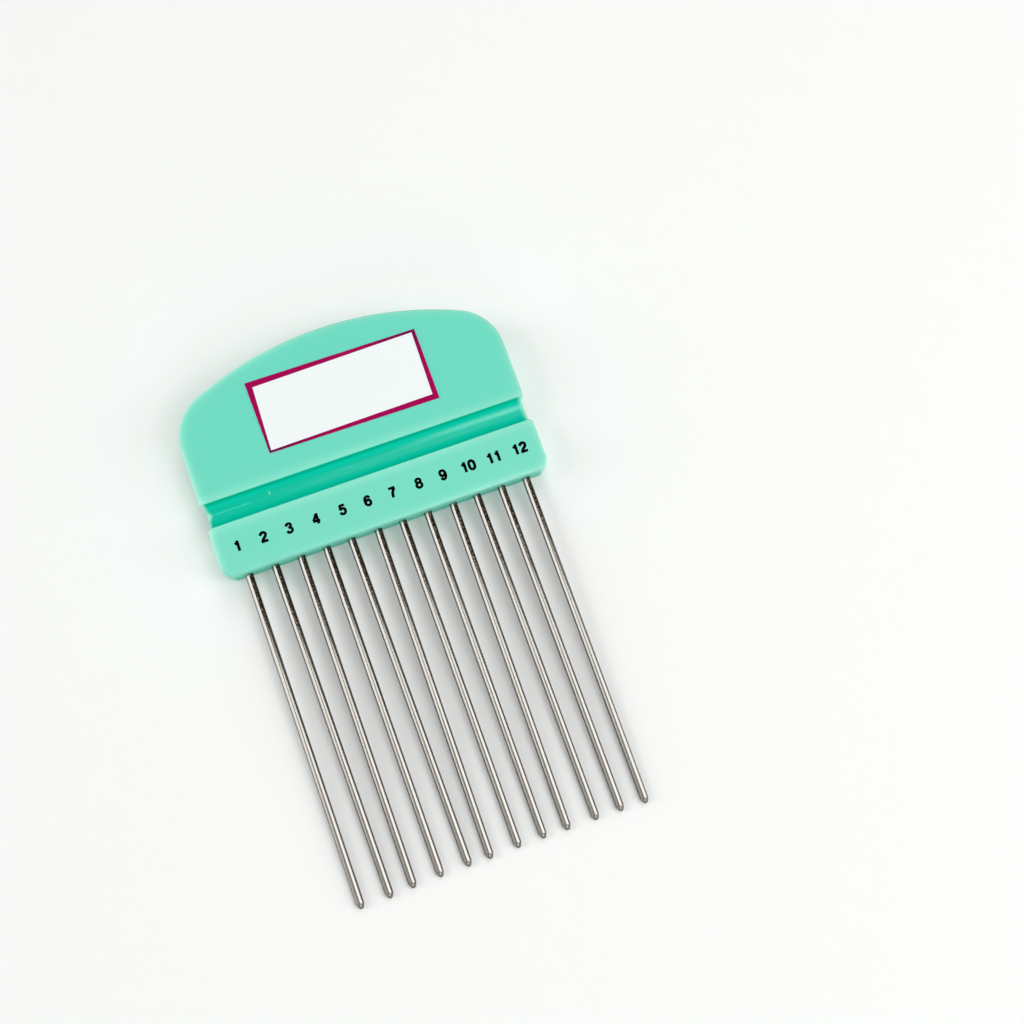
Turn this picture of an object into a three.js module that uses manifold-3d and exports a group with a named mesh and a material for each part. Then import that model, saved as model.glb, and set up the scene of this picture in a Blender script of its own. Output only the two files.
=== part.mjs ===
// A quilling comb: a moulded handle, a row of steel pins seated in its bar, and a sticker on its palm panel.
// Millimetres. +X runs along the pin row, +Y from the pins to the arched top, +Z from the back to the front.
import * as THREE from "three";
import { mergeVertices } from "three/addons/utils/BufferGeometryUtils.js";
import Module from "manifold-3d";

// Pins
const pinCount = 12;
const pinPitch = 5;
const pinRadius = 0.75;
const pinReach = 64.3; // from the bar's lower edge to the tip of the deepest seated pin
const pinSeat = 9; // the length of that pin held inside the bar
const tipLength = 0.95; // the tapered end
const noseRadius = 0.5; // the round point of the taper
const rootChamfer = 0.2;
const boreClearance = 0.05; // round a pin and behind its root
const pinSides = 20;

// How far each pin sits off its even place, where it leaves the bar and at its tip
const rootDrift = [-0.3, -0.15, -0.1, -0.05, -0.15, 0.15, 0.05, 0.05, 0.15, -0.05, -0.1, -0.1];
const tipDrift = [-0.15, 0.35, -0.15, 0.15, 0.5, -0.35, 0.1, 0, -0.35, 0.2, 0.05, -0.2];

// How much farther each pin sticks out than the deepest seated one
const reachDrift = [0.3, 0.35, 0.1, 0, 0, 0.05, 0, 0, 0.1, 0.2, 0.3, 0.5];

// Handle, seen from the front
const barMargin = 4.85; // from the axis of an end pin to the end of the bar
const barHeight = 10.05;
const barCornerRadius = 2.4;
const grooveWidth = 4.6;
const panelSide = 11.4; // the straight side of the palm panel
const shoulderRadius = 9.75;
const crownRise = 4.7; // of the arched top above the shoulders

// Handle, seen from the side
const handleThickness = 6;
const grooveDepth = 1.7; // on the front and on the back
const edgeRollWidth = 0.6; // how far the rounded edge reaches over the face
const edgeRollDepth = 0.7; // how far it reaches down the side
const grooveLip = 0.3; // the small round along each edge of the groove

// The waist's sides
const waistInset = 0.65;
const waistOuterRadius = 0.8;
const waistInnerRadius = 0.4;

// Label
const labelWidth = 33.9;
const labelHeight = 14.3;
const labelThickness = 0.15;
const labelDrop = 0.55; // of its centre, below the middle of the palm panel
const labelTurn = -0.7; // degrees

// What follows from the sizes above
const halfWidth = ((pinCount - 1) * pinPitch) / 2 + barMargin;
const grooveTop = barHeight + grooveWidth;
const shoulderHeight = grooveTop + panelSide;
const handleHeight = shoulderHeight + shoulderRadius + crownRise;
const longestReach = pinReach + Math.max(...reachDrift);
const pinAxisHeight = handleThickness / 2;

const roundTolerance = 0.01; // between a curve and its straight steps
const cutterOverrun = 1; // how far a cutter sticks out of what it cuts

const mintPlastic = new THREE.MeshStandardMaterial({ name: "mint plastic", color: 0x76dcc7, roughness: 0.35 });
const steel = new THREE.MeshStandardMaterial({ name: "steel", color: 0xc9c4bc, roughness: 0.25, metalness: 1 });
const labelStock = new THREE.MeshStandardMaterial({ name: "label stock", color: 0xf4f5f7, roughness: 0.4 });

const wasm = await Module();
wasm.setup();

function toSolid(geometry) {
  const bare = geometry.clone();
  bare.deleteAttribute("normal");
  bare.deleteAttribute("uv");
  const merged = mergeVertices(bare, 1e-4);
  const vertProperties = new Float32Array(merged.attributes.position.array);
  const triVerts = new Uint32Array(merged.index.array);
  return new wasm.Manifold(new wasm.Mesh({ numProp: 3, vertProperties, triVerts }));
}

function toGeometry(solid) {
  const { vertProperties, triVerts } = solid.getMesh();
  const geometry = new THREE.BufferGeometry();
  geometry.setAttribute("position", new THREE.BufferAttribute(vertProperties, 3));
  geometry.setIndex(new THREE.BufferAttribute(triVerts, 1));
  geometry.computeVertexNormals();
  return geometry;
}

// Points of an arc, with both ends, in steps that stay within the tolerance of the true curve
function arcPoints(x, y, radius, from, to) {
  const step = 2 * Math.acos(1 - roundTolerance / Math.max(radius, 2 * roundTolerance));
  const count = Math.max(2, Math.ceil(Math.abs(to - from) / step));
  return Array.from({ length: count + 1 }, (_, i) => {
    const angle = from + ((to - from) * i) / count;
    return new THREE.Vector2(x + radius * Math.cos(angle), y + radius * Math.sin(angle));
  });
}

const mirrored = (points) => points.map((p) => new THREE.Vector2(-p.x, p.y)).reverse();

// The waist is drawn in at each end by an outward round followed by an inward one.
// The turn is the angle of each round, and the two meet level with the groove's edge.
function waistSide() {
  const radii = waistOuterRadius + waistInnerRadius;
  const turn = Math.acos(Math.max(0, 1 - waistInset / radii));
  const outerX = halfWidth - waistOuterRadius;
  const innerX = halfWidth - waistInset + waistInnerRadius;
  const outerRun = waistOuterRadius * Math.sin(turn);
  const innerRun = waistInnerRadius * Math.sin(turn);
  return [
    ...arcPoints(outerX, barHeight - outerRun, waistOuterRadius, 0, turn),
    ...arcPoints(innerX, barHeight + innerRun, waistInnerRadius, turn + Math.PI, Math.PI).slice(1),
    ...arcPoints(innerX, grooveTop - innerRun, waistInnerRadius, Math.PI, Math.PI - turn),
    ...arcPoints(outerX, grooveTop + outerRun, waistOuterRadius, -turn, 0).slice(1),
  ];
}

// The arched top is one large round that runs smoothly into a shoulder at each end.
function archSide() {
  const shoulderX = halfWidth - shoulderRadius;
  const rise = shoulderRadius + crownRise;
  const crownRadius = (shoulderX ** 2 + rise ** 2 - shoulderRadius ** 2) / (2 * crownRise);
  const crownCentre = handleHeight - crownRadius;
  const meeting = Math.atan2(shoulderHeight - crownCentre, shoulderX);
  return [
    ...arcPoints(shoulderX, shoulderHeight, shoulderRadius, 0, meeting),
    ...arcPoints(0, crownCentre, crownRadius, meeting, Math.PI / 2).slice(1),
  ];
}

function handleBlank() {
  const cornerX = halfWidth - barCornerRadius;
  const corner = arcPoints(cornerX, barCornerRadius, barCornerRadius, -Math.PI / 2, 0);
  const right = [...corner, ...waistSide(), ...archSide()];
  const outline = new THREE.Shape([...right, ...mirrored(right.slice(0, -1))]);
  const blank = new THREE.ExtrudeGeometry(outline, {
    depth: handleThickness - 2 * edgeRollDepth,
    bevelThickness: edgeRollDepth,
    bevelSize: edgeRollWidth,
    bevelOffset: -edgeRollWidth,
    bevelSegments: 5,
  });
  return toSolid(blank.translate(0, 0, edgeRollDepth));
}

// A bar of the groove's section, for the front face. Its lips are rounded off into the face.
function grooveCutter() {
  const half = grooveWidth / 2;
  const radius = (half ** 2 + grooveDepth ** 2) / (2 * grooveDepth);
  const centre = radius - grooveDepth; // above the face
  // The lip's centre lies under the face and clear of the channel by its own radius.
  const lipX = Math.sqrt((radius + grooveLip) ** 2 - (centre + grooveLip) ** 2);
  const lipAngle = Math.atan2(-grooveLip - centre, lipX);
  const channel = arcPoints(0, centre, radius, -Math.PI / 2, lipAngle);
  const lip = arcPoints(lipX, -grooveLip, grooveLip, lipAngle + Math.PI, Math.PI / 2).slice(1);
  const right = [...channel, ...lip, new THREE.Vector2(lipX, cutterOverrun)];
  const section = new THREE.Shape([...right, ...mirrored(right.slice(1))]);
  const length = 2 * (halfWidth + cutterOverrun);
  const cutter = new THREE.ExtrudeGeometry(section, { depth: length, bevelEnabled: false });
  cutter.translate(0, 0, -length / 2);
  cutter.applyMatrix4(new THREE.Matrix4().makeBasis(
    new THREE.Vector3(0, 1, 0),
    new THREE.Vector3(0, 0, 1),
    new THREE.Vector3(1, 0, 0),
  ));
  return cutter.translate(0, barHeight + half, handleThickness);
}

// Where a pin or its bore leaves the bar, and how it leans
function placePin(object, index) {
  const even = (index - (pinCount - 1) / 2) * pinPitch;
  const root = rootDrift[index % rootDrift.length];
  const tip = tipDrift[index % tipDrift.length];
  object.position.set(even + root, 0, pinAxisHeight);
  object.rotation.z = Math.asin((tip - root) / pinReach);
  object.updateMatrix();
  return object;
}

// A lathed pin along Y. The cone is tangent to the round nose and meets the shank at the taper's end.
function pinGeometry() {
  const slope =
    Math.acos(noseRadius / Math.hypot(pinRadius, tipLength - noseRadius)) -
    Math.atan2(tipLength - noseRadius, pinRadius);
  const nose = arcPoints(0, noseRadius - pinReach, noseRadius, -Math.PI / 2, -slope);
  nose[0].x = 0;
  return new THREE.LatheGeometry([
    ...nose,
    new THREE.Vector2(pinRadius, tipLength - pinReach),
    new THREE.Vector2(pinRadius, pinSeat - rootChamfer),
    new THREE.Vector2(pinRadius - rootChamfer, pinSeat),
    new THREE.Vector2(0, pinSeat),
  ], pinSides);
}

function boreGeometry() {
  const radius = pinRadius + boreClearance;
  return new THREE.LatheGeometry([
    new THREE.Vector2(0, -cutterOverrun),
    new THREE.Vector2(radius, -cutterOverrun),
    new THREE.Vector2(radius, pinSeat + boreClearance),
    new THREE.Vector2(0, pinSeat + boreClearance),
  ], pinSides);
}

function handleGeometry() {
  const front = grooveCutter();
  const back = front.clone().translate(0, 0, -handleThickness).rotateY(Math.PI);
  let solid = handleBlank().subtract(toSolid(front)).subtract(toSolid(back));
  for (let i = 0; i < pinCount; i++) {
    const bore = boreGeometry().applyMatrix4(placePin(new THREE.Object3D(), i).matrix);
    solid = solid.subtract(toSolid(bore));
  }
  return toGeometry(solid);
}

function labelGeometry() {
  const x = labelWidth / 2;
  const y = labelHeight / 2;
  const corners = [[-x, -y], [x, -y], [x, y], [-x, y]].map(([a, b]) => new THREE.Vector2(a, b));
  return new THREE.ExtrudeGeometry(new THREE.Shape(corners), { depth: labelThickness, bevelEnabled: false });
}

// The comb, with the bar's lower edge at Y = 0
const comb = new THREE.Group();

const handle = new THREE.Mesh(handleGeometry(), mintPlastic);
handle.name = "handle";
comb.add(handle);

for (let i = 0; i < pinCount; i++) {
  const pin = placePin(new THREE.Mesh(pinGeometry(), steel), i);
  pin.translateY(-reachDrift[i % reachDrift.length]);
  pin.name = "pin_" + String(i + 1).padStart(2, "0");
  comb.add(pin);
}

const label = new THREE.Mesh(labelGeometry(), labelStock);
label.name = "label";
label.position.set(0, (grooveTop + handleHeight) / 2 - labelDrop, handleThickness);
label.rotation.z = THREE.MathUtils.degToRad(labelTurn);
comb.add(label);

// The part's origin is the middle of its outer box, at the bottom.
const part = new THREE.Group();
comb.position.y = (longestReach - handleHeight) / 2;
part.add(comb);

export default part;
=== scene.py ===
from math import acos, atan2, copysign, cos, hypot, pi, radians, sin, sqrt

import bmesh
import bpy
from mathutils import Matrix, Vector


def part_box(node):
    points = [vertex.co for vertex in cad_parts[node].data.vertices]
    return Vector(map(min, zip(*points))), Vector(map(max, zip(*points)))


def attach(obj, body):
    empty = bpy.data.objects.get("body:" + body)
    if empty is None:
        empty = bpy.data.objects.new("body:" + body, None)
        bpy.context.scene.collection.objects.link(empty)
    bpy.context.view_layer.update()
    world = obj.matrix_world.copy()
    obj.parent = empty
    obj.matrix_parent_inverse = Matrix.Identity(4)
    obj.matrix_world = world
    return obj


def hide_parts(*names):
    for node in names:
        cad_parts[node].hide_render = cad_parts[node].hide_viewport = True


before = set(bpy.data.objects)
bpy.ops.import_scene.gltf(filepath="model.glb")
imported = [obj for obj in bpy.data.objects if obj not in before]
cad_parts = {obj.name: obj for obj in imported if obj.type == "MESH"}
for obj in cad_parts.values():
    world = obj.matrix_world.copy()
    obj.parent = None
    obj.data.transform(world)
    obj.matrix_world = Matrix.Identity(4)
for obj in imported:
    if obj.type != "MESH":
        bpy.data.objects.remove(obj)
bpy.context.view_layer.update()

MILLIMETRE = 0.001

# The photograph's view
CAMERA_PLACE = Vector((-3.93, -35.25, 264.62))
CAMERA_TARGET = Vector((22.67, 6.78, 3.0))
PHOTO_TURN = radians(20.01)  # of the picture's upright, from +Y towards +X
LENS = 49.22
PHOTO_RIGHT = Vector((cos(PHOTO_TURN), -sin(PHOTO_TURN), 0))
PHOTO_UP = Vector((sin(PHOTO_TURN), cos(PHOTO_TURN), 0))

# Handle
BAR_HEIGHT = 10.05
BAR_CORNER = 2.4
GROOVE_WIDTH = 4.6
GROOVE_DEPTH = 1.7
GROOVE_LIP = 0.3
GROOVE_CUTS = 14  # on each side of the groove's middle, closer together toward its edges
PANEL_SIDE = 11.4
SHOULDER_RADIUS = 9.75
CROWN_RISE = 4.7
WAIST_INSET = 0.65
WAIST_OUTER = 0.8
WAIST_INNER = 0.4
EDGE_ROLL = 0.6
ROLL_STEPS = 5
ROLL_SHARE = 0.36  # of half the thickness, taken up by the rounded edge
LOW_ROLL_SHARE = 0.26  # the same along the edge that the pins leave from

# Pins
PIN_COUNT = 12
PIN_RADIUS = 0.75
PIN_SIDES = 40
TIP_LENGTH = 0.95
NOSE_RADIUS = 0.5
ROOT_CHAMFER = 0.2
FOURTH_PIN = -12.6  # its X

# Label: the corners of its sheet and of the white field inside its border, from its middle.
# The sheet is cut a little out of square, and the field sits a little askew.
SHEET = [(-16.76, -7.09), (16.95, -7.5), (16.86, 7.04), (-17.07, 7.42)]
FIELD = [(-16.335, -6.63), (15.89, -6.35), (16.15, 6.545), (-15.86, 6.195)]
SHEET_CORNER = 0.25
BORDER_SHARE = 0.999  # of the sheet's size, so that the print ends just inside its edge

# Numerals: each stroke has a width, whether it closes, and its points. A third value marks a corner.
INK_THICKNESS = 0.015
INK_SINK = 0.003  # of the numerals into the bar
STROKE_LIFT = 0.002  # of each stroke over the one before it
NUMERAL_PITCH = 5.07
NUMERAL_DRIFT = [0, -0.02, -0.1, 0.1, 0.2, 0.1, 0, 0.1, -0.15, -0.2, -0.1, 0]
NUMERAL_HEIGHT = 4.2  # of a numeral's foot above the bar's lower edge
DIGIT_HEIGHT = 2.05
DIGIT_ADVANCE = 1.5
BOLDNESS = 1.38
DIGITS = {
    "0": [
        (0.4, True, [
            (0.5, 1.02), (0.4, 1.6), (0, 1.87), (-0.4, 1.6),
            (-0.5, 1.02), (-0.4, 0.44), (0, 0.18), (0.4, 0.44)]),
    ],
    "1": [
        (0.4, False, [(0.14, 0, 1), (0.14, 2.05, 1)]),
        (0.36, False, [(0.14, 1.8), (-0.1, 1.58), (-0.4, 1.42)]),
    ],
    "2": [
        (0.4, False, [
            (-0.5, 1.38), (-0.38, 1.72), (0, 1.87), (0.38, 1.74),
            (0.48, 1.42), (0.28, 1.02), (-0.1, 0.68), (-0.42, 0.2)]),
        (0.38, False, [(-0.66, 0.19, 1), (0.68, 0.19, 1)]),
    ],
    "3": [
        (0.38, False, [
            (-0.48, 1.46), (-0.33, 1.77), (0, 1.87), (0.33, 1.77),
            (0.43, 1.48), (0.3, 1.2), (-0.12, 1.1)]),
        (0.38, False, [
            (-0.12, 1.1), (0.3, 1.03), (0.5, 0.62), (0.36, 0.29),
            (0, 0.18), (-0.36, 0.29), (-0.5, 0.6)]),
    ],
    "4": [
        (0.4, False, [(0.24, 0, 1), (0.24, 2.05, 1)]),
        (0.36, False, [(-0.72, 0.6, 1), (0.68, 0.6, 1)]),
        (0.36, False, [(0.2, 1.92, 1), (-0.6, 0.66, 1)]),
    ],
    "5": [
        (0.36, False, [(-0.32, 1.84, 1), (0.58, 1.84, 1)]),
        (0.36, False, [(-0.28, 1.98, 1), (-0.42, 1.0, 1)]),
        (0.38, False, [
            (-0.44, 1.02), (-0.02, 1.25), (0.37, 1.08), (0.5, 0.7),
            (0.36, 0.32), (0, 0.18), (-0.34, 0.27), (-0.52, 0.58)]),
    ],
    "6": [
        (0.38, False, [
            (0.46, 1.5), (0.3, 1.79), (0.02, 1.87), (-0.34, 1.66), (-0.5, 1.02), (-0.37, 0.38), (0.02, 0.18),
            (0.38, 0.32), (0.5, 0.68), (0.37, 1.05), (0.03, 1.2), (-0.3, 1.06), (-0.45, 0.8)]),
    ],
    "7": [
        (0.36, False, [(-0.64, 1.85, 1), (0.62, 1.85, 1)]),
        (0.4, False, [(0.5, 1.78), (0.1, 1.22), (-0.1, 0.65), (-0.18, 0)]),
    ],
    "8": [
        (0.37, True, [
            (0.43, 1.5), (0.3, 1.77), (0, 1.87), (-0.3, 1.77),
            (-0.43, 1.5), (-0.3, 1.22), (0, 1.12), (0.3, 1.22)]),
        (0.38, True, [
            (0.5, 0.63), (0.36, 0.98), (0, 1.12), (-0.36, 0.98),
            (-0.5, 0.63), (-0.36, 0.3), (0, 0.18), (0.36, 0.3)]),
    ],
}
# A nine is a six turned by half a turn.
DIGITS["9"] = [
    (width, closed, [(-x, DIGIT_HEIGHT - y) for x, y in points])
    for width, closed, points in DIGITS["6"]
]

# Light. A lamp's place is how far its direction leans to the picture's right and top.
LAMP_COLOUR = (0.97, 0.985, 1.0)
LAMP_DISTANCE = 1000
LAMPS = [  # name, right, top, width, length, watts
    ("left softbox", -0.89, 0, 900, 500, 4.9),
    ("right softbox", 0.79, -0.03, 1000, 480, 5.4),
    ("far fill", 0.08, 0.68, 500, 500, 2.2),
    ("near left fill", -0.5, -0.5, 450, 450, 0.4),
    ("near right fill", 0.5, -0.5, 450, 450, 0.9),
    ("near low fill", 0.1, -0.92, 560, 350, 1.6),
    ("overhead fill", 0.1, 0, 700, 500, 2.1),
]
# Cards that only the glossy surfaces mirror. Each hangs at an angle from overhead towards +X, and at a Y.
CARDS = [  # name, angle, Y, turn, width, length, watts
    ("left card", -44, 160, 8, 1350, 340, 2.2),
    ("right card", 40, -150, -10, 1350, 500, 3.6),
    ("dim left card", -45, -220, 0, 1600, 400, 0.6),
    ("near card", 5, -1300, 0, 1800, 1000, 4.5),
    ("far card", -5, 1300, 0, 1800, 1000, 4.5),
]
SURROUNDINGS = (0.105, 0.103, 0.068)
BACKDROP = (0.94, 0.945, 0.94)

# The table meets the back of the bar at its lower edge, and rises from there toward the pins' tips.
TABLE_SIZE = 3000
TABLE_RISE = 2.25
TABLE_RUN = 63.5

handle_low, handle_high = (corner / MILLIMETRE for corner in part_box("handle"))
label_low, label_high = (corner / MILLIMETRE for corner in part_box("label"))
LABEL_MIDDLE = (label_low + label_high) / 2
HALF_WIDTH = handle_high.x
BAR_EDGE = handle_low.y
THICKNESS = handle_high.z
GROOVE_MIDDLE = BAR_EDGE + BAR_HEIGHT + GROOVE_WIDTH / 2


# Materials

class Wire:
    """A node's output. Sums on it add Math nodes to its tree."""

    def __init__(self, nodes, socket):
        self.nodes = nodes
        self.socket = socket

    def __add__(self, other):
        return self.nodes.math("ADD", self, other)

    def __sub__(self, other):
        return self.nodes.math("SUBTRACT", self, other)

    def __rsub__(self, other):
        return self.nodes.math("SUBTRACT", other, self)

    def __mul__(self, other):
        return self.nodes.math("MULTIPLY", self, other)

    def __truediv__(self, other):
        return self.nodes.math("DIVIDE", self, other)

    def __rtruediv__(self, other):
        return self.nodes.math("DIVIDE", other, self)

    def __pow__(self, other):
        return self.nodes.math("POWER", self, other)

    def __rpow__(self, other):
        return self.nodes.math("POWER", other, self)

    def __abs__(self):
        return self.nodes.math("ABSOLUTE", self)

    __radd__ = __add__
    __rmul__ = __mul__


class Nodes:
    """A node tree, and the nodes that are added to it."""

    def __init__(self, tree):
        self.tree = tree

    def feed(self, socket, value):
        if isinstance(value, Wire):
            self.tree.links.new(value.socket, socket)
        elif isinstance(value, tuple) and socket.type == "RGBA":
            socket.default_value = (*value, 1)[:4]
        else:
            socket.default_value = value

    def node(self, kind, settings=None, values=None, output=0):
        node = self.tree.nodes.new("ShaderNode" + kind)
        for name, value in (settings or {}).items():
            setattr(node, name, value)
        for name, value in (values or {}).items():
            self.feed(node.inputs[name], value)
        return Wire(self, node.outputs[output])

    def math(self, operation, *values):
        return self.node("Math", {"operation": operation}, dict(enumerate(values)))

    def smaller(self, first, second):
        return self.math("MINIMUM", first, second)

    def larger(self, first, second):
        return self.math("MAXIMUM", first, second)

    def place(self, centre=(0, 0, 0), scale=(1, 1, 1)):
        """Object coordinates in millimetres from a centre, stretched by a scale."""
        point = self.node("TexCoord", output=3)
        point = self.node("Mapping", {"vector_type": "TEXTURE"}, {
            "Vector": point,
            "Location": tuple(c * MILLIMETRE for c in centre),
            "Scale": (MILLIMETRE,) * 3,
        })
        if scale == (1, 1, 1):
            return point
        return self.node("VectorMath", {"operation": "MULTIPLY"}, {0: point, 1: scale})

    def noise(self, point, scale, detail=2, roughness=0.5):
        return self.node("TexNoise", None, {
            "Vector": point, "Scale": scale, "Detail": detail, "Roughness": roughness})

    def step(self, value, start, end, low=0, high=1):
        """Goes smoothly from low to high as the value goes from start to end."""
        return self.node("MapRange", {"interpolation_type": "SMOOTHSTEP"}, {
            0: value, 1: start, 2: end, 3: low, 4: high})

    def mix(self, share, first, second):
        return self.node("Mix", {"data_type": "RGBA"}, {0: share, 6: first, 7: second}, output=2)

    def axes(self, point):
        return [self.node("SeparateXYZ", None, {0: point}, output=i) for i in range(3)]

    def bump(self, height, strength, distance):
        return self.node("Bump", None, {
            "Height": height, "Strength": strength, "Distance": distance * MILLIMETRE})


class Finish(Nodes):
    """A material, with its nodes and its shader."""

    def __init__(self, name, **constants):
        self.material = bpy.data.materials.new(name)
        self.material.use_nodes = True
        super().__init__(self.material.node_tree)
        self.shader = self.tree.nodes["Principled BSDF"]
        self.set(**constants)

    def set(self, **values):
        for name, value in values.items():
            self.feed(self.shader.inputs[name.replace("_", " ")], value)


def groove_paint(finish, x, y, face):
    """The groove's deeper green, which is painted shade, with painted highlights that lie along its floor.
    """
    # Painted shade: the groove is a deeper green than the face. Its walls are painted lighter than its
    # floor, and its lower wall and upper lip are painted darker again.
    wall, floor = (0.001, 0.61, 0.43), (0.004, 0.515, 0.355)
    low_wall_painted_shade, high_lip_painted_shade = (0.001, 0.53, 0.37), (0.001, 0.5, 0.325)
    soft_highlight_colour, right_highlight_colour = (0.045, 0.56, 0.41), (0.15, 0.72, 0.57)
    painted_light_and_shade_streak_colour, pale_spot_colour = (0.06, 0.7, 0.52), (0.2, 0.78, 0.62)

    colour = finish.mix(finish.step(abs(y), 1.8, 0.7), wall, floor)
    colour = finish.mix(finish.step(y, -0.8, -1.6, 0, 0.8), colour, low_wall_painted_shade)
    colour = finish.mix(finish.step(y, 1.85, 2.1), colour, high_lip_painted_shade)
    # Painted highlights: soft paler patches along the groove's middle, broken up along its length.
    smear = finish.noise(finish.place((0, GROOVE_MIDDLE, 0), scale=(0.12, 2.2, 1)), 1, detail=3)
    soft_highlight = finish.step(abs(y - 0.1), 1.3, 0.3) * finish.step(x, -24, 2, 0.15, 1)
    colour = finish.mix(soft_highlight * smear * 1.3, colour, soft_highlight_colour)
    # Painted highlight: a paler streak high on the groove's floor towards its right end.
    right_highlight = finish.step(abs(y - 0.85), 0.75, 0.05) * finish.step(x, 3, 24)
    colour = finish.mix(right_highlight * finish.step(smear, 0.2, 0.6, 0.7, 1), colour, right_highlight_colour)
    # Painted highlight: a thin paler streak along the groove's floor at its left end.
    painted_light_and_shade_streak = finish.step(abs(y - 0.25), 0.14, 0.02) * finish.step(abs(x + 26.8), 4.2, 2.6)
    colour = finish.mix(painted_light_and_shade_streak * 0.8, colour, painted_light_and_shade_streak_colour)
    # A small paler spot in the groove, left of its middle.
    pale_spot = finish.step(((x + 19.3) ** 2 * 4 + (y - 0.8) ** 2) ** 0.5, 0.5, 0.15)
    colour = finish.mix(pale_spot * 0.75, colour, pale_spot_colour)

    # The painted deeper green ends before the waist, in a point at the left end.
    at_left = finish.step(x, 10, -10)
    point_of_end = abs(x) + at_left * (finish.step(abs(y - 0.25), 1.1, 0.05, 0, 0.6) - 0.3)
    inside = finish.step(point_of_end, HALF_WIDTH - 0.8, HALF_WIDTH - 1.7)
    inside = finish.step(abs(y), 2.5, 2.36) * inside
    return finish.mix(inside, face, colour), inside


def inset_from_outline(finish):
    """How many millimetres a point of the handle lies inside its outline."""
    shoulder, crown, radius = arch()
    x, y, _ = finish.axes(finish.place())
    x = abs(x)

    def from_round(middle_x, middle_y, size):
        return size - (middle_x ** 2 + middle_y ** 2) ** 0.5

    past_corner = finish.larger(x - (HALF_WIDTH - BAR_CORNER), 0)
    under_corner = finish.larger(BAR_EDGE + BAR_CORNER - y, 0)
    from_corner = from_round(past_corner, under_corner, BAR_CORNER)
    past_shoulder = finish.larger(x - shoulder.x, 0)
    over_shoulder = finish.larger(y - shoulder.y, 0)
    from_shoulder = from_round(past_shoulder, over_shoulder, SHOULDER_RADIUS)
    from_crown = from_round(x, y - crown.y, radius)
    beside = finish.step(x * (shoulder.y - crown.y) - (y - crown.y) * shoulder.x, -0.5, 0.5)
    from_arch = from_shoulder * beside + from_crown * (1 - beside)
    return finish.smaller(from_corner, from_arch)


def worn_rims(finish, x, y, above_low_edge, face):
    """Painted highlights: the paler plastic along the handle's rims and beside its groove."""
    near_side_highlight, far_side_highlight = (0.47, 0.95, 0.79), (0.44, 0.79, 0.65)
    far_side = finish.step(x + y, 10, 33)
    # The painted highlight is palest up to 0.15 mm inside the outline. From there it fades by a factor of
    # 2.72 every 0.6 mm.
    rim = 2.72 ** (finish.smaller(0.15 - inset_from_outline(finish), 0) / 0.6)
    low_rim = finish.step(x, -30, 22, 0.3, 0.75)
    rim = rim * (low_rim + finish.step(above_low_edge, 0.5, 3) * (1 - low_rim))
    rim = rim * (1 - far_side * 0.25)
    lip = finish.step(abs(y), 2.5, 4.6, 0.3, 0)
    return finish.mix((rim + lip) ** 1.2, face, finish.mix(far_side, near_side_highlight, far_side_highlight))


def handle_plastic():
    finish = Finish("mint handle plastic", Specular_IOR_Level=0.0, Coat_Roughness=0.36, Coat_IOR=1.47)
    panel, bar, clouded = (0.135, 0.682, 0.522), (0.172, 0.703, 0.54), (0.15, 0.698, 0.54)
    wall_top_painted_light, wall_foot_painted_shade = (0.24, 0.82, 0.66), (0.07, 0.6, 0.42)
    point = finish.place((0, GROOVE_MIDDLE, THICKNESS / 2))
    x, y, z = finish.axes(point)
    above_low_edge = y - (BAR_EDGE - GROOVE_MIDDLE)

    cloud = finish.noise(point, 0.09, detail=3)
    face = finish.mix(finish.step(y, 0.5, -0.5), panel, bar)
    face = finish.mix(finish.step(cloud, 0.3, 0.7, 0, 0.35), face, clouded)
    face = worn_rims(finish, x, y, above_low_edge, face)
    # Painted light and shade on the bar's lower side wall: paler at its top, darker towards its foot.
    on_wall = finish.step(above_low_edge, 0.2, -0.02)
    face = finish.mix(on_wall, face, finish.mix(finish.step(z, 2.4, -1.5), wall_top_painted_light, wall_foot_painted_shade))
    colour, inside = groove_paint(finish, x, y, face)

    grain = finish.noise(point, 14, detail=3)
    orange_peel = finish.noise(point, 1.1)
    parting = finish.step(abs(z), 0.07, 0.02)
    finish.set(
        Base_Color=colour,
        Roughness=0.5,
        Coat_Weight=finish.step(inside, 0, 1, 0.95, 0.06) * (1 - on_wall * 0.5),
        Normal=finish.bump(grain * 0.25 + orange_peel + parting * 1.5, 0.12, 0.03),
    )
    return finish.material


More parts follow.
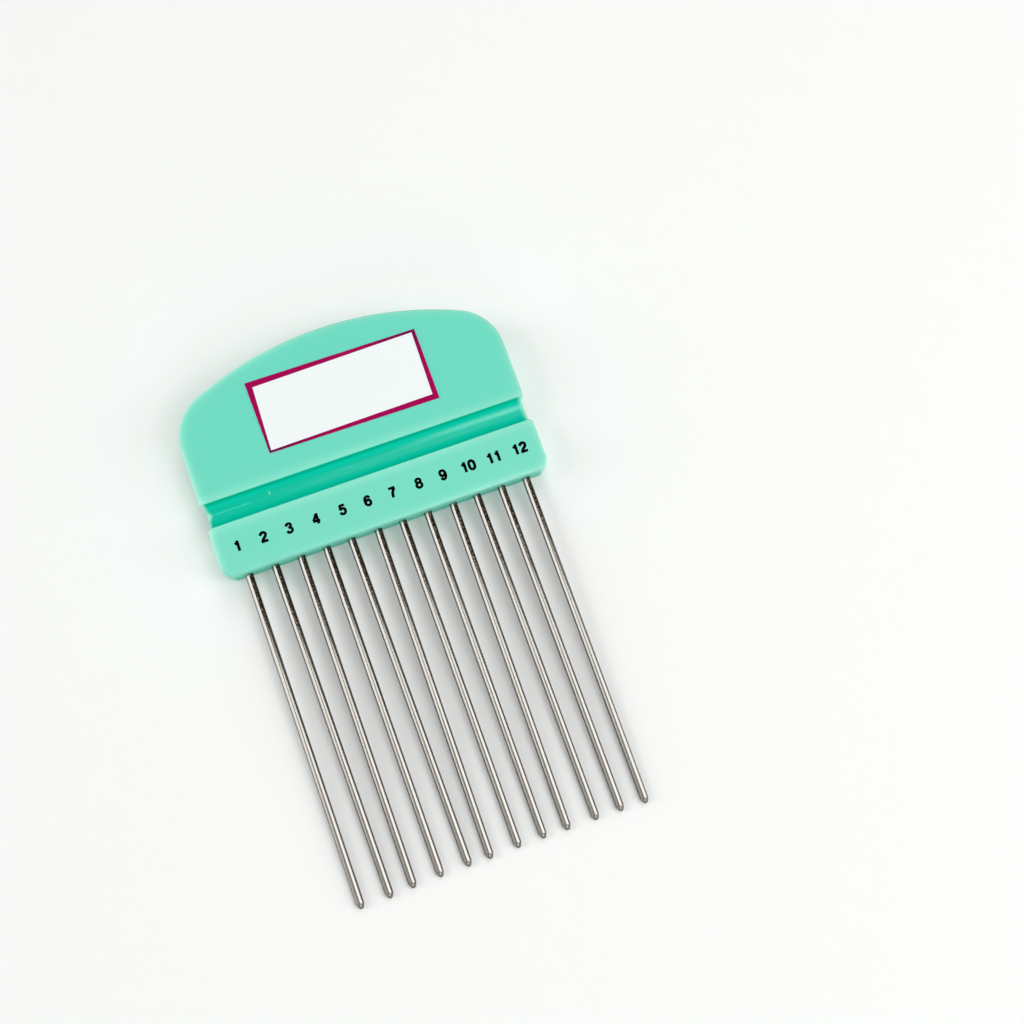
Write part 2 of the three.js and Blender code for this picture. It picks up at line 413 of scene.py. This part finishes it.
def pin_steel():
    """Drawn wire with painted shade below and along one edge; where it was heated into the bar, brown scale
    on one side over a painted dark reflection.
    """
    finish = Finish("drawn steel wire", Metallic=1.0, Specular_Tint=(0.1, 0.09, 0.08))
    bright, lined, painted_dark_lower_half = (0.58, 0.55, 0.52), (0.46, 0.42, 0.385), (0.12, 0.105, 0.095)
    painted_dark_reflection, brown_scale, painted_light_and_shade_streak_colour = (0.012, 0.008, 0.006), (0.36, 0.26, 0.17), (0.048, 0.036, 0.03)
    x, y, z = finish.axes(finish.place((0, BAR_EDGE, THICKNESS / 2)))
    sideways = finish.node("Attribute", {"attribute_name": "sideways"}, output=2)

    lines = finish.noise(finish.place(scale=(7, 0.07, 7)), 1)
    colour = finish.mix(finish.step(lines, 0.35, 0.75, 0, 0.35), bright, lined)

    patches = finish.noise(finish.place(scale=(0.35, 0.1, 0.35)), 1)
    mottle = finish.noise(finish.place(scale=(5, 2.8, 5)), 1, detail=4, roughness=0.65)
    flecks = finish.step(mottle, 0.5, 0.62)
    # Near the bar, the right side is painted near-black as a dark reflection, flecked with brown scale.
    scale_and_dark_reflection = finish.step(y + patches * 14, -16, 2) * finish.step(sideways, -0.15, 0.1)
    colour = finish.mix(scale_and_dark_reflection * 0.9, colour, finish.mix(flecks, painted_dark_reflection, brown_scale))
    # Painted shade: the lower half is darkened, standing in for the shaded table that it mirrors.
    colour = finish.mix(finish.step(z, 0.58, 0.42, 0, 0.7), colour, painted_dark_lower_half)

    # Painted dark reflection along each pin's right edge, stronger away from the tips; on the fourth pin it
    # also reaches further towards the root.
    strength = finish.step(y, -54, -34, 0.3, 0.8)
    on_fourth = finish.step(abs(x - FOURTH_PIN), 2.4, 2) * finish.step(y, -38, -30)
    painted_light_and_shade_streak = finish.step(sideways, 0.5, 0.7) * finish.step(z, -0.1, 0.25)
    painted_light_and_shade_streak = painted_light_and_shade_streak * (strength + on_fourth * (1 - strength))
    finish.set(
        Base_Color=finish.mix(painted_light_and_shade_streak * 0.85, colour, painted_light_and_shade_streak_colour),
        Roughness=finish.step(scale_and_dark_reflection * flecks, 0, 1, 0.17, 0.35),
        Normal=finish.bump(lines * 0.3 + mottle * scale_and_dark_reflection, 0.12, 0.03),
    )
    return finish.material


def label_stock():
    finish = Finish("coated label paper", Roughness=0.4, IOR=1.45)
    tooth = finish.noise(finish.place(), 5, detail=4)
    finish.set(
        Base_Color=finish.mix(tooth * 0.12, (0.862, 0.908, 0.916), (0.82, 0.87, 0.88)),
        Normal=finish.bump(tooth, 0.1, 0.02),
    )
    return finish.material


def border_ink():
    """Magenta that is darker near two opposite corners."""
    finish = Finish("magenta print", Roughness=0.4, Specular_IOR_Level=0.05)
    point = finish.place()
    x, y, _ = finish.axes(point)
    tone = finish.noise(point, 1.2, detail=4)
    magenta = finish.mix(finish.step(tone, 0.4, 0.65, 0, 0.4), (0.37, 0.0, 0.085), (0.29, 0.0, 0.08))
    at_corners = finish.step(x * (y - LABEL_MIDDLE.y), 15, 110, 0, 0.85)
    finish.set(Base_Color=finish.mix(at_corners, magenta, (0.15, 0.0, 0.07)))
    return finish.material


def numeral_ink():
    finish = Finish("black numeral ink", Roughness=0.6, Specular_IOR_Level=0.0)
    tone = finish.noise(finish.place(), 3, detail=3)
    finish.set(Base_Color=finish.mix(tone, (0.0, 0.0, 0.0), (0.004, 0.004, 0.004)))
    return finish.material


def table_white():
    """It melts into the backdrop where the lamps' even light ends."""
    finish = Finish("white table", Roughness=0.9, Specular_IOR_Level=0.0, Base_Color=(0.925, 0.928, 0.928))
    x, y, _ = finish.axes(finish.place())
    finish.set(Alpha=finish.step((x * x + y * y) ** 0.5, 400, 220))
    return finish.material


# Shaping

def all_of(shape):
    return shape.verts[:] + shape.edges[:] + shape.faces[:]


def run(shape, tip, to):
    """Draws a straight line on from the tip, and returns its end."""
    end = bmesh.ops.extrude_vert_indiv(shape, verts=[tip])["verts"][0]
    end.co = Vector((*to, 0))
    return end


def sweep(shape, tip, centre, turn, steps):
    """Draws an arc on from the tip, about the centre, and returns its end."""
    swept = bmesh.ops.spin(
        shape, geom=[tip], cent=(*centre, 0), axis=(0, 0, 1), angle=turn, steps=steps)
    return swept["geom_last"][0]


def raised(made):
    """The vertices among what an extrusion made."""
    return [v for v in made["geom"] if isinstance(v, bmesh.types.BMVert)]


def thicken(shape, faces, thickness):
    """Makes a slab of flat faces."""
    top = raised(bmesh.ops.extrude_face_region(shape, geom=faces))
    bmesh.ops.translate(shape, verts=top, vec=(0, 0, thickness))
    bmesh.ops.recalc_face_normals(shape, faces=shape.faces[:])


def round_edges(shape, edges, offset, segments):
    bmesh.ops.bevel(
        shape, geom=edges, offset=offset, offset_type="OFFSET", segments=segments,
        profile=0.5, affect="EDGES", material=-1)


def new_object(name, data):
    made = bpy.data.objects.new(name, data)
    bpy.context.scene.collection.objects.link(made)
    return made


def to_object(shape, name, material, place=None):
    """Turns a shape in millimetres into an object in metres."""
    bmesh.ops.transform(shape, matrix=Matrix.Scale(MILLIMETRE, 4) @ (place or Matrix()), verts=shape.verts)
    mesh = bpy.data.meshes.new(name)
    shape.to_mesh(mesh)
    shape.free()
    mesh.materials.append(material)
    return new_object(name, mesh)


def piece(shape, name, material, node=None, place=None):
    """Turns a shape into a piece of the comb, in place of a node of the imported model."""
    for face in shape.faces:
        face.smooth = True
    made = to_object(shape, name, material, place)
    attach(made, "root")
    if node:
        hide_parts(node)
    return made


def even_shading(made):
    """Large flat faces stay flat next to the rounds along their edges."""
    shading = made.modifiers.new("even shading", "WEIGHTED_NORMAL")
    shading.weight = 50
    shading.keep_sharp = True


# Handle

def groove_depth(offset):
    """How far the grooved face lies under the flat one, at a distance from the groove's middle."""
    half = GROOVE_WIDTH / 2
    radius = (half ** 2 + GROOVE_DEPTH ** 2) / (2 * GROOVE_DEPTH)
    rise = radius - GROOVE_DEPTH
    lip_place = sqrt((radius + GROOVE_LIP) ** 2 - (rise + GROOVE_LIP) ** 2)
    meeting = lip_place * radius / (radius + GROOVE_LIP)
    offset = abs(offset)
    if offset >= lip_place:
        return 0
    if offset > meeting:
        return GROOVE_LIP - sqrt(GROOVE_LIP ** 2 - (lip_place - offset) ** 2)
    return sqrt(radius ** 2 - offset ** 2) - rise


def arch():
    """The shoulder's middle, and the middle and radius of the crown above it."""
    shoulder = Vector((HALF_WIDTH - SHOULDER_RADIUS, BAR_EDGE + BAR_HEIGHT + GROOVE_WIDTH + PANEL_SIDE))
    rise = SHOULDER_RADIUS + CROWN_RISE
    radius = (shoulder.x ** 2 + rise ** 2 - SHOULDER_RADIUS ** 2) / (2 * CROWN_RISE)
    return shoulder, Vector((0, shoulder.y + rise - radius)), radius


def handle_outline(shape):
    """Draws the right half from the bar's lower edge to the crown, and mirrors it."""
    corner_x = HALF_WIDTH - BAR_CORNER
    turn = acos(1 - WAIST_INSET / (WAIST_OUTER + WAIST_INNER))
    outer_x, outer_run = HALF_WIDTH - WAIST_OUTER, WAIST_OUTER * sin(turn)
    inner_x, inner_run = HALF_WIDTH - WAIST_INSET + WAIST_INNER, WAIST_INNER * sin(turn)
    groove_low = BAR_EDGE + BAR_HEIGHT
    groove_high = groove_low + GROOVE_WIDTH
    shoulder, crown, _ = arch()
    meeting = atan2(shoulder.y - crown.y, shoulder.x)

    tip = shape.verts.new((0, BAR_EDGE, 0))
    tip = run(shape, tip, (corner_x, BAR_EDGE))
    tip = sweep(shape, tip, (corner_x, BAR_EDGE + BAR_CORNER), pi / 2, 12)
    tip = run(shape, tip, (HALF_WIDTH, groove_low - outer_run))
    tip = sweep(shape, tip, (outer_x, groove_low - outer_run), turn, 6)
    tip = sweep(shape, tip, (inner_x, groove_low + inner_run), -turn, 5)
    tip = run(shape, tip, (HALF_WIDTH - WAIST_INSET, groove_high - inner_run))
    tip = sweep(shape, tip, (inner_x, groove_high - inner_run), -turn, 5)
    tip = sweep(shape, tip, (outer_x, groove_high + outer_run), turn, 6)
    tip = run(shape, tip, (HALF_WIDTH, shoulder.y))
    tip = sweep(shape, tip, shoulder, meeting, 20)
    sweep(shape, tip, crown, pi / 2 - meeting, 20)
    bmesh.ops.mirror(shape, geom=all_of(shape), axis="X", merge_dist=0.001)


def cut_along_groove(shape):
    """Cuts the slab across its height, so that the groove can be sunk between the cuts."""
    reach = GROOVE_WIDTH / 2 + GROOVE_LIP
    for i in range(-GROOVE_CUTS, GROOVE_CUTS + 1):
        cut = copysign(reach * (1 - (1 - abs(i) / GROOVE_CUTS) ** 1.5), i)
        bmesh.ops.bisect_plane(
            shape, geom=all_of(shape), dist=0.02,
            plane_co=(0, GROOVE_MIDDLE + cut, 0), plane_no=(0, 1, 0))


def sink_and_round(shape):
    """Sinks the grooves into the slab, and stretches its even bevel to the local thickness."""
    for vert in shape.verts:
        height = vert.co.z - THICKNESS / 2
        down_the_roll = min((THICKNESS / 2 - abs(height)) / EDGE_ROLL, 1)
        half = THICKNESS / 2 - groove_depth(vert.co.y - GROOVE_MIDDLE)
        above_low_edge = min(max((vert.co.y - BAR_EDGE) / BAR_CORNER, 0), 1)
        share = LOW_ROLL_SHARE + (ROLL_SHARE - LOW_ROLL_SHARE) * above_low_edge
        vert.co.z = THICKNESS / 2 + copysign(half * (1 - down_the_roll * share), height)


def make_handle():
    shape = bmesh.new()
    handle_outline(shape)
    back = bmesh.ops.contextual_create(shape, geom=shape.edges[:])["faces"]
    thicken(shape, back, THICKNESS)
    rims = [e for e in shape.edges if e.verts[0].co.z == e.verts[1].co.z]
    round_edges(shape, rims, EDGE_ROLL, ROLL_STEPS)
    cut_along_groove(shape)
    sink_and_round(shape)
    even_shading(piece(shape, "grooved_handle", handle_plastic(), "handle"))


# Pins

def pin_ends(node):
    """The middle of a pin's seated end, and the point of its tip."""
    points = [vert.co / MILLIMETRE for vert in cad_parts[node].data.vertices]
    ends = []
    for level in (max(p.y for p in points), min(p.y for p in points)):
        near = [p for p in points if abs(p.y - level) < 0.02]  # more than the end's own lean
        ends.append(sum(near, Vector()) / len(near))
    return ends


def pin_shape(length):
    """A lathed pin along Y, its tip at the origin. The taper runs smoothly out of the round nose."""
    slope = (acos(NOSE_RADIUS / hypot(PIN_RADIUS, TIP_LENGTH - NOSE_RADIUS))
             - atan2(TIP_LENGTH - NOSE_RADIUS, PIN_RADIUS))
    chamfer = length - ROOT_CHAMFER
    shape = bmesh.new()
    tip = shape.verts.new((0, 0, 0))
    tip = sweep(shape, tip, (0, NOSE_RADIUS), pi / 2 - slope, 6)
    # The closest rings soften the taper's end and keep its shading off the straight shank.
    for to in (
        (PIN_RADIUS - 0.03, TIP_LENGTH - 0.05),
        (PIN_RADIUS, TIP_LENGTH + 0.1),
        (PIN_RADIUS, TIP_LENGTH + 0.3),
        (PIN_RADIUS, chamfer - 0.2),
        (PIN_RADIUS, chamfer),
        (PIN_RADIUS - ROOT_CHAMFER, length),
        (0, length),
    ):
        tip = run(shape, tip, to)
    bmesh.ops.spin(
        shape, geom=all_of(shape), cent=(0, 0, 0), axis=(0, 1, 0),
        angle=2 * pi, steps=PIN_SIDES, use_merge=True)
    bmesh.ops.remove_doubles(shape, verts=shape.verts[:], dist=0.0005)
    bmesh.ops.recalc_face_normals(shape, faces=shape.faces[:])
    return shape


def make_pins():
    steel = pin_steel()
    for number in range(1, PIN_COUNT + 1):
        node = f"pin_{number:02d}"
        seat, point = pin_ends(node)
        shape = pin_shape((seat - point).length)
        sideways = shape.verts.layers.float.new("sideways")
        for vert in shape.verts:
            vert[sideways] = vert.co.x / PIN_RADIUS
        lean = Vector((0, 1, 0)).rotation_difference(seat - point).to_matrix().to_4x4()
        piece(shape, f"steel_pin_{number:02d}", steel, node, Matrix.Translation(point) @ lean)


# Label and numerals

def make_label():
    shape = bmesh.new()
    corners = [shape.verts.new((x, y, 0)) for x, y in SHEET]
    back = bmesh.ops.contextual_create(shape, geom=corners)["faces"]
    thicken(shape, back, label_high.z - label_low.z)
    upright = [e for e in shape.edges if e.verts[0].co.z != e.verts[1].co.z]
    round_edges(shape, upright, SHEET_CORNER, 4)
    bed = Matrix.Translation((LABEL_MIDDLE.x, LABEL_MIDDLE.y, label_low.z))
    even_shading(piece(shape, "palm_label", label_stock(), "label", bed))


def make_border():
    shape = bmesh.new()
    loops = []
    for points, share in ((SHEET, BORDER_SHARE), (FIELD, 1)):
        corners = [shape.verts.new((x * share, y * share, 0)) for x, y in points]
        loops += [shape.edges.new((corners[i - 1], corners[i])) for i in range(4)]
    band = bmesh.ops.bridge_loops(shape, edges=loops)["faces"]
    thicken(shape, band, INK_THICKNESS)
    bed = Matrix.Translation((LABEL_MIDDLE.x, LABEL_MIDDLE.y, label_high.z))
    even_shading(piece(shape, "label_border", border_ink(), place=bed))


def worked_out(made):
    """The mesh that an object's curve or modifiers give. The object itself is removed."""
    bpy.context.view_layer.update()
    graph = bpy.context.evaluated_depsgraph_get()
    mesh = bpy.data.meshes.new_from_object(made.evaluated_get(graph))
    bpy.data.objects.remove(made)
    return mesh


def stroke_line(points, closed):
    """A line through points that are corners or lie on a bend."""
    curve = bpy.data.curves.new("stroke", "CURVE")
    curve.dimensions = "3D"
    curve.resolution_u = 6
    line = curve.splines.new("BEZIER")
    line.bezier_points.add(len(points) - 1)
    line.use_cyclic_u = closed
    for knot, (x, y, *corner) in zip(line.bezier_points, points):
        knot.co = (x, y, 0)
        knot.handle_left_type = knot.handle_right_type = "VECTOR" if corner else "AUTO"
    return worked_out(new_object("stroke", curve))


def widened(mesh, width, height):
    """A wall of a height along the lines of a mesh, widened to both sides."""
    wall = bmesh.new()
    wall.from_mesh(mesh)
    top = raised(bmesh.ops.extrude_edge_only(wall, edges=wall.edges[:]))
    bmesh.ops.translate(wall, verts=top, vec=(0, 0, height))
    wall.to_mesh(mesh)
    wall.free()
    band = new_object("band", mesh)
    thick = band.modifiers.new("stroke width", "SOLIDIFY")
    thick.thickness = width
    thick.offset = 0
    thick.use_even_offset = True
    return worked_out(band)


def make_numerals():
    ink = bmesh.new()
    for number in range(1, PIN_COUNT + 1):
        digits = str(number)
        middle = (number - (PIN_COUNT + 1) / 2) * NUMERAL_PITCH + NUMERAL_DRIFT[number - 1]
        for i, digit in enumerate(digits):
            x = middle + (i - (len(digits) - 1) / 2) * DIGIT_ADVANCE
            foot = Matrix.Translation((x, BAR_EDGE + NUMERAL_HEIGHT, THICKNESS - INK_SINK))
            for layer, (width, closed, points) in enumerate(DIGITS[digit]):
                height = INK_THICKNESS + STROKE_LIFT * layer
                mesh = widened(stroke_line(points, closed), width * BOLDNESS, height)
                mesh.transform(foot)
                ink.from_mesh(mesh)
    bmesh.ops.recalc_face_normals(ink, faces=ink.faces[:])
    even_shading(piece(ink, "numerals", numeral_ink()))


# Studio

def aim(made, place, towards, upright):
    """Puts a lamp or camera in place, its own -Z towards a point."""
    back = (place - towards).normalized()
    side = upright.cross(back).normalized()
    turned = Matrix((side, back.cross(side), back)).transposed().to_4x4()
    made.matrix_world = Matrix.Translation(place * MILLIMETRE) @ turned


def make_camera():
    data = bpy.data.cameras.new("camera")
    data.lens = LENS
    data.sensor_width = 36
    data.clip_start = 0.01
    camera = new_object("camera", data)
    bpy.context.scene.camera = camera
    aim(camera, CAMERA_PLACE, CAMERA_TARGET, PHOTO_UP)


def hang(name, place, upright, width, length, power):
    """A square-cornered lamp that faces the middle of the table."""
    data = bpy.data.lights.new(name, "AREA")
    data.shape = "RECTANGLE"
    data.size = width * MILLIMETRE
    data.size_y = length * MILLIMETRE
    data.energy = power
    data.color = LAMP_COLOUR
    lamp = new_object(name, data)
    aim(lamp, place, Vector((0, 0, 0)), upright)
    return lamp


def make_lights():
    for name, across, along, *rest in LAMPS:
        height = sqrt(1 - across ** 2 - along ** 2)
        way = PHOTO_RIGHT * across + PHOTO_UP * along + Vector((0, 0, height))
        lamp = hang(name, way * LAMP_DISTANCE, PHOTO_UP, *rest)
        lamp.visible_glossy = False
    for name, angle, along, turn, *rest in CARDS:
        angle, turn = radians(angle), radians(turn)
        place = Vector((sin(angle) * LAMP_DISTANCE, along, cos(angle) * LAMP_DISTANCE))
        card = hang(name, place, Vector((-sin(turn), cos(turn), 0)), *rest)
        card.visible_diffuse = False


def make_world():
    """The camera sees the backdrop all round, and what is mirrored sees it only low over the table."""
    world = bpy.data.worlds.new("studio")
    bpy.context.scene.world = world
    world.use_nodes = True
    nodes = Nodes(world.node_tree)
    seen, mirrored, passed = (
        nodes.node("LightPath", output=f"Is {kind} Ray") for kind in ("Camera", "Glossy", "Transmission"))
    up = nodes.axes(nodes.node("TexCoord", output="Generated"))[2]
    shown = nodes.step(seen + (mirrored + passed) * nodes.step(up, 0.36, 0.1), 0, 1)
    background = world.node_tree.nodes["Background"]
    nodes.feed(background.inputs["Color"], nodes.mix(shown, SURROUNDINGS, BACKDROP))


def make_table():
    shape = bmesh.new()
    bmesh.ops.create_grid(shape, x_segments=1, y_segments=1, size=TABLE_SIZE)
    rise = Matrix.Rotation(-atan2(TABLE_RISE, TABLE_RUN), 4, "X")
    to_object(shape, "table", table_white(), Matrix.Translation((0, BAR_EDGE, 0)) @ rise)


make_camera()
make_lights()
make_world()
make_table()
make_handle()
make_pins()
make_label()
make_border()
make_numerals()

bpy.context.scene.view_settings.view_transform = "Standard"
